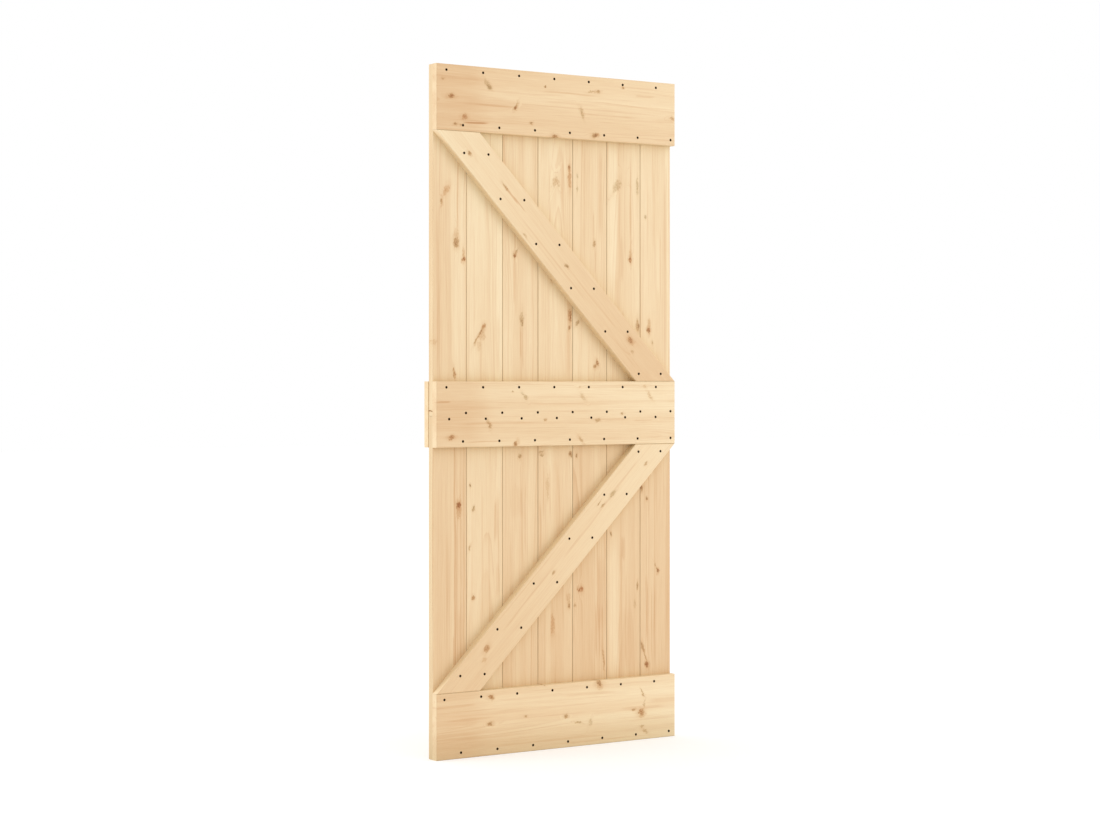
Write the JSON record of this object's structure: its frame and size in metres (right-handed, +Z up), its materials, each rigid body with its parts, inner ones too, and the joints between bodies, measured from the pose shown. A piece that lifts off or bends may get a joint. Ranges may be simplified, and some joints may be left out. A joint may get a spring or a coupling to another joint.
{
  "type": "barn door leaf",
  "caption": "Barn door leaf of bare pine: upright tongue and groove planks held by wide rails and diagonal braces laid as a K, fixed with black countersunk screws.",
  "frame": {"origin": "middle of the foot of the leaf, at the middle of the planks' thickness", "axes": "+X along the rails to the viewer's right, +Y from the front to the back, +Z up"},
  "size_m": [0.9, 0.072, 2.1],
  "materials": {
    "plank_pine": "planed bare pine with knots, grain upright",
    "rail_pine": "planed bare pine with knots, grain along the rail",
    "brace_pine": "planed bare pine with knots, grain along the brace",
    "black_screw": "black coated steel, satin"
  },
  "bodies": {
    "root": {"upper_plank_1": "plank_pine", "upper_plank_2": "plank_pine", "upper_plank_3": "plank_pine", "upper_plank_4": "plank_pine", "upper_plank_5": "plank_pine", "upper_plank_6": "plank_pine", "upper_plank_7": "plank_pine", "lower_plank_1": "plank_pine", "lower_plank_2": "plank_pine", "lower_plank_3": "plank_pine", "lower_plank_4": "plank_pine", "lower_plank_5": "plank_pine", "lower_plank_6": "plank_pine", "lower_plank_7": "plank_pine", "top_rail": "rail_pine", "middle_rail_front": "rail_pine", "middle_rail_back": "rail_pine", "bottom_rail": "rail_pine", "upper_brace": "brace_pine", "lower_brace": "brace_pine", "top_rail_screws": "black_screw", "middle_rail_screws": "black_screw", "bottom_rail_screws": "black_screw", "upper_brace_screws": "black_screw", "lower_brace_screws": "black_screw"}
  },
  "joints": []
}
